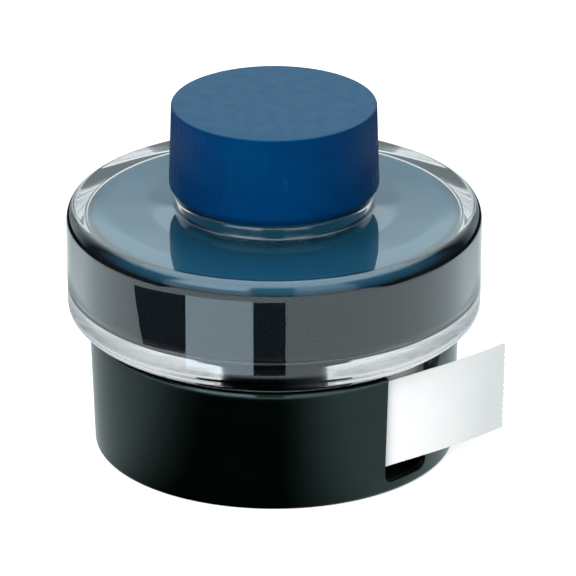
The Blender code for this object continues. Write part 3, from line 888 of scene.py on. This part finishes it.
def toward(azimuth):
    """Unit vector on the floor at this angle to the right of straight at the camera, in degrees."""
    angle = math.radians(VIEW_AZIMUTH + azimuth)
    return Vector((math.sin(angle), -math.cos(angle), 0.0))


def glow(name, colour, strength):
    """A material that only gives light, with its tree and its light node."""
    material = bpy.data.materials.new(name)
    material.use_nodes = True
    tree = material.node_tree
    tree.nodes.clear()
    light = node(tree, "ShaderNodeEmission", {"Color": (*colour, 1.0), "Strength": strength})
    out = node(tree, "ShaderNodeOutputMaterial")
    tree.links.new(light.outputs[0], out.inputs["Surface"])
    return material, tree, light


def reflector(obj):
    """A studio card that only shows in reflections."""
    obj.visible_camera = False
    obj.visible_diffuse = False
    obj.visible_transmission = False
    obj.visible_shadow = False
    obj.visible_volume_scatter = False


# Light, in linear values. Brightness levels are relative to the plain background, which is 1.
COOL = (0.85, 1.0, 1.04)
COOLER = (0.83, 1.0, 1.06)
CARD_COLOUR = (0.78, 1.0, 1.16)
CARD_DARK = 0.08
CARD_BRIGHT = 4.6
AMBIENT = 0.66
THROUGH_GLASS = 0.85
LAMP_SIZE = 1.0
LAMP_DISTANCE = 1.3

# What mirror-like rays see round the room: (degrees to the right of the camera's side, level).
RING_BACK = 2.3
RING_SIDE = 2.5
RING_DARK = 0.05
RING_DIM = 0.3
RING_BRIGHTEST = 5.0
RING_LEVELS = (
    (-160, RING_BACK),
    (-118, RING_DARK),
    (-62, RING_DARK),
    (-53, RING_BRIGHTEST),
    (-16, RING_BRIGHTEST),
    (-12, RING_DIM),
    (10, RING_DIM),
    (14, RING_SIDE),
    (40, RING_SIDE),
    (47, RING_DARK),
    (122, RING_DARK),
    (162, RING_BACK),
)

# Where that view changes with height: elevations in degrees at which each change starts and ends.
TABLE_EDGE = (-9, -7)
LOW_RING_EDGE = (15, 21)
BACK_LOW_EDGE = (22.2, 23.1)
OVERHEAD_EDGE = (38, 54)

# The levels that it changes to, and how far round, in degrees, the dimmer low back starts.
BACK_SIDES = (138, 150)
LOW_RING = 1.4
BACK_LOW = 0.52
OVERHEAD = 4.6

# The lit table as those rays see it: circles in millimetres, close together where it changes.
TABLE_CIRCLES = (20, 32, 40, 50, 60, 70, 80, 83, 87, 91, 110, 128, 136, 150, 180, 240, 290, 330, 400)
TABLE_TURNS = 120
TABLE_HEIGHT = 0.2 * MM
TABLE_NEAR = 83
TABLE_NEAR_FADE = 8
CARD_STEPS = 6


def floor_point(radius, turn, distance, height):
    """Where light from this place on a round wall, going down to the floor, comes from."""
    return toward(turn) * radius + toward(2 * turn) * distance + Vector((0, 0, height))


def mirrored_at(wall_height):
    """How far in front of the wall a place on the floor is whose reflection shows at this height."""
    rise = math.radians(VIEW_ELEVATION)
    eye_height = VIEW_HEIGHT + VIEW_DISTANCE * math.sin(rise)
    eye_away = VIEW_DISTANCE * math.cos(rise) - DISC_RADIUS_TOP
    wall_rise = DISC_TOP - DISC_BOTTOM - DISC_LOWER_ROUND[1] - DISC_UPPER_ROUND[1]
    lean = math.atan((DISC_RADIUS_TOP - DISC_RADIUS_BOTTOM) / wall_rise)
    return wall_height / math.tan(math.atan((eye_height - wall_height) / eye_away) + 2 * lean)


def wall_card(name, turns, heights, strength, height, slant=0.0):
    """A card whose reflection stands on the glass wall between two turns and two places up it.

    The last height is how far above the floor the card lies. The slant moves the left end of its
    lower edge to the right, in degrees.
    """
    bm = bmesh.new()
    distances = [mirrored_at(place) for place in heights]
    near, far = [], []
    for step in range(CARD_STEPS + 1):
        turn = turns[0] + (turns[1] - turns[0]) * step / CARD_STEPS
        lower = turn + slant * (1 - step / CARD_STEPS)
        near.append(bm.verts.new(floor_point(DISC_RADIUS_TOP, lower, distances[0], height)))
        far.append(bm.verts.new(floor_point(DISC_RADIUS_TOP, turn, distances[1], height)))
    for step in range(CARD_STEPS):
        bm.faces.new((near[step], far[step], far[step + 1], near[step + 1]))
    material, _, _ = glow(name, CARD_COLOUR, strength)
    reflector(make_object(name, bm, material))


def ground_glow(radius, turn):
    """The table's brightness at a distance in millimetres and an angle from the camera's side.

    Close by it is dark in front of the base and brighter to either side. Further out it is bright as
    far as its edge, which is nearer on the sides and behind. Behind, it is dimmer too.
    """
    if turn < 0:
        front = 0.60 * smooth((-turn - 32) / 45)
    else:
        front = 0.82 * smooth((turn - 1) / 38)
    reach = 285 - 157 * smooth((abs(turn) - 48) / 8)
    level = RING_BACK - 1.2 * smooth((abs(turn) - 108) / 30)
    far = level * (1 - smooth((radius - reach) / 22))
    return front + (far - front) * smooth((radius - TABLE_NEAR) / TABLE_NEAR_FADE)


def ground_card():
    """The lit table as the reflections see it: dark close in front of the base, bright further out."""
    bm = bmesh.new()
    shade = bm.verts.layers.float.new("glow")
    rings = []
    for radius in TABLE_CIRCLES:
        ring = []
        for step in range(TABLE_TURNS):
            turn = 360.0 * step / TABLE_TURNS - 180.0
            vert = bm.verts.new(toward(turn) * radius * MM + Vector((0, 0, TABLE_HEIGHT)))
            vert[shade] = ground_glow(radius, turn)
            ring.append(vert)
        rings.append(ring)
    for near, far in zip(rings, rings[1:]):
        for step in range(TABLE_TURNS):
            after = (step + 1) % TABLE_TURNS
            bm.faces.new((near[step], far[step], far[after], near[after]))
    material, tree, light = glow("ground_card", COOL, 1.0)
    value = node(tree, "ShaderNodeAttribute", attribute_name="glow")
    tree.links.new(value.outputs["Fac"], light.inputs["Strength"])
    reflector(make_object("ground_card", bm, material))


def spread_over(tree, upward, start, end):
    """0 below one elevation and 1 above another, in degrees, for a direction's upward part."""
    return spread(tree, upward, 0.0, 1.0, math.sin(math.radians(start)), math.sin(math.radians(end)))


def turn_from_camera(tree, axes):
    """A direction's angle to the right of the camera's side, in radians from -pi to pi."""
    turn = maths(tree, "ARCTAN2", axes.outputs["X"], maths(tree, "MULTIPLY", axes.outputs["Y"], -1.0))
    turn = maths(tree, "SUBTRACT", turn, math.radians(VIEW_AZIMUTH))
    return maths(tree, "WRAP", turn, math.pi, -math.pi)


def openings(tree, turn):
    """The room's bright openings and the dark gaps between them, all the way round."""
    share = spread(tree, turn, 0.0, 1.0, -math.pi, math.pi)
    ramp = node(tree, "ShaderNodeValToRGB", {"Fac": share})
    stops = ramp.color_ramp.elements
    while len(stops) > 1:
        stops.remove(stops[-1])
    first = stops[0]
    first.position = 0.0
    first.color = (RING_BACK / RING_BRIGHTEST,) * 3 + (1.0,)
    for degrees, level in RING_LEVELS:
        stop = stops.new((degrees + 180) / 360)
        stop.color = (level / RING_BRIGHTEST,) * 3 + (1.0,)
    return maths(tree, "MULTIPLY", ramp.outputs["Color"], RING_BRIGHTEST)


def mirrored_room(tree):
    """What mirror-like rays see: openings round the room, a light overhead, dark below the table."""
    where = node(tree, "ShaderNodeTexCoord").outputs["Generated"]
    axes = node(tree, "ShaderNodeSeparateXYZ", {"Vector": where})
    upward = axes.outputs["Z"]
    turn = turn_from_camera(tree, axes)
    ring = openings(tree, turn)
    calm = maths(tree, "MINIMUM", ring, LOW_RING)
    lift = maths(tree, "SUBTRACT", ring, calm)
    ring = maths(tree, "MULTIPLY_ADD", lift, spread_over(tree, upward, *LOW_RING_EDGE), calm)
    start, end = (math.radians(side) for side in BACK_SIDES)
    behind = spread(tree, maths(tree, "ABSOLUTE", turn), 0.0, 1.0, start, end)
    under_edge = maths(tree, "SUBTRACT", 1.0, spread_over(tree, upward, *BACK_LOW_EDGE))
    dimmed = spread(tree, maths(tree, "MULTIPLY", behind, under_edge), 1.0, BACK_LOW, 0.0, 1.0)
    over_table = maths(tree, "MULTIPLY", dimmed, spread_over(tree, upward, *TABLE_EDGE))
    high = spread_over(tree, upward, *OVERHEAD_EDGE)
    low = maths(tree, "MULTIPLY", maths(tree, "SUBTRACT", 1.0, high), over_table)
    return maths(tree, "MULTIPLY_ADD", ring, low, maths(tree, "MULTIPLY", high, OVERHEAD))


def studio_world():
    """An even room for every ray but mirror-like ones, which see the openings round it.

    A ray that glass bends counts as glossy as well as transmitted, so those are taken out again.
    """
    world = bpy.data.worlds.new("studio")
    world.use_nodes = True
    tree = world.node_tree
    around = mirrored_room(tree)
    path = node(tree, "ShaderNodeLightPath")
    straight = maths(tree, "SUBTRACT", 1.0, path.outputs["Is Transmission Ray"])
    mirrored = maths(tree, "MULTIPLY", path.outputs["Is Glossy Ray"], straight)
    even = spread(tree, path.outputs["Is Camera Ray"], THROUGH_GLASS, 1.0, 0.0, 1.0)
    even = maths(tree, "MULTIPLY_ADD", path.outputs["Is Diffuse Ray"], AMBIENT - THROUGH_GLASS, even)
    level = maths(tree, "MULTIPLY_ADD", maths(tree, "SUBTRACT", around, even), mirrored, even)
    sky = tree.nodes["Background"]
    colour = blend_colours(tree, mirrored, (0.97, 1.0, 1.02), COOLER)
    tree.links.new(colour, sky.inputs["Color"])
    tree.links.new(level, sky.inputs["Strength"])
    bpy.context.scene.world = world


def soft_lamp(name, azimuth, height, power):
    """A round soft light aimed at the bottle, which reflections don't show."""
    light = bpy.data.lights.new(name, "AREA")
    light.shape = "DISK"
    light.size = LAMP_SIZE
    light.energy = power
    lamp = bpy.data.objects.new(name, light)
    lamp.location = Vector((0, 0, height)) + toward(azimuth) * LAMP_DISTANCE
    lamp.visible_glossy = False
    lamp.visible_transmission = False
    lamp.rotation_mode = "QUATERNION"
    lamp.rotation_quaternion = lamp.location.to_track_quat("Z", "Y")
    bpy.context.collection.objects.link(lamp)


def build_floor():
    """A plain pale floor that shows to the camera but not in reflections or through the glass."""
    bm = bmesh.new()
    bmesh.ops.create_grid(bm, x_segments=2, y_segments=2, size=3.0)
    material, tree, shader = start_material("pale_floor", Roughness=0.9, Specular_IOR_Level=0.1)
    mottle = spread(tree, cloud(tree, 3, 2.0), 0.0, 1.0)
    shade = blend_colours(tree, mottle, (0.86, 0.86, 0.86), (0.88, 0.88, 0.88))
    tree.links.new(shade, shader.inputs["Base Color"])
    shader.inputs["Emission Color"].default_value = (1, 1, 1, 1)
    shader.inputs["Emission Strength"].default_value = 0.45
    floor = make_object("floor", bm, material)
    floor.visible_diffuse = False
    floor.visible_glossy = False
    floor.visible_transmission = False


def build_stage():
    """World, floor, two soft lamps, and the cards that stand in the bottle's reflections."""
    studio_world()
    build_floor()
    soft_lamp("key", -14, 0.76, 25.0)
    soft_lamp("fill", 138, 0.60, 9.0)
    ground_card()
    wall_card("dark_card_left", (-42, -25), (29.3 * MM, 40 * MM), CARD_DARK, 0.5 * MM, slant=3.0)
    wall_card("light_card", (-25, -5.8), (26.2 * MM, 41 * MM), CARD_BRIGHT, 0.5 * MM)
    wall_card("dark_card_middle", (-5.6, 3.2), (26.2 * MM, 40 * MM), CARD_DARK, 0.6 * MM)


def build_camera():
    """A long lens that looks down at a point a little to the right of the bottle's axis."""
    data = bpy.data.cameras.new("camera")
    data.sensor_width = 36.0
    data.lens = VIEW_LENS
    data.clip_start = 0.01
    data.clip_end = 50.0
    camera = bpy.data.objects.new("camera", data)
    bpy.context.collection.objects.link(camera)
    rise = math.radians(VIEW_ELEVATION)
    right = toward(90.0)
    back = toward(0.0) * math.cos(rise) + Vector((0, 0, math.sin(rise)))
    target = Vector((0, 0, VIEW_HEIGHT)) + right * VIEW_RIGHT
    camera.location = target + back * VIEW_DISTANCE
    camera.rotation_mode = "QUATERNION"
    camera.rotation_quaternion = back.to_track_quat("Z", "Y")
    scene = bpy.context.scene
    scene.camera = camera
    scene.view_settings.view_transform = "Standard"
    scene.cycles.max_bounces = 24
    scene.cycles.glossy_bounces = 16
    scene.cycles.transmission_bounces = 16


build_glass()
build_ink()
build_cap()
build_liner()
build_base()
build_roll()
build_core()
build_strip()
build_stage()
build_camera()
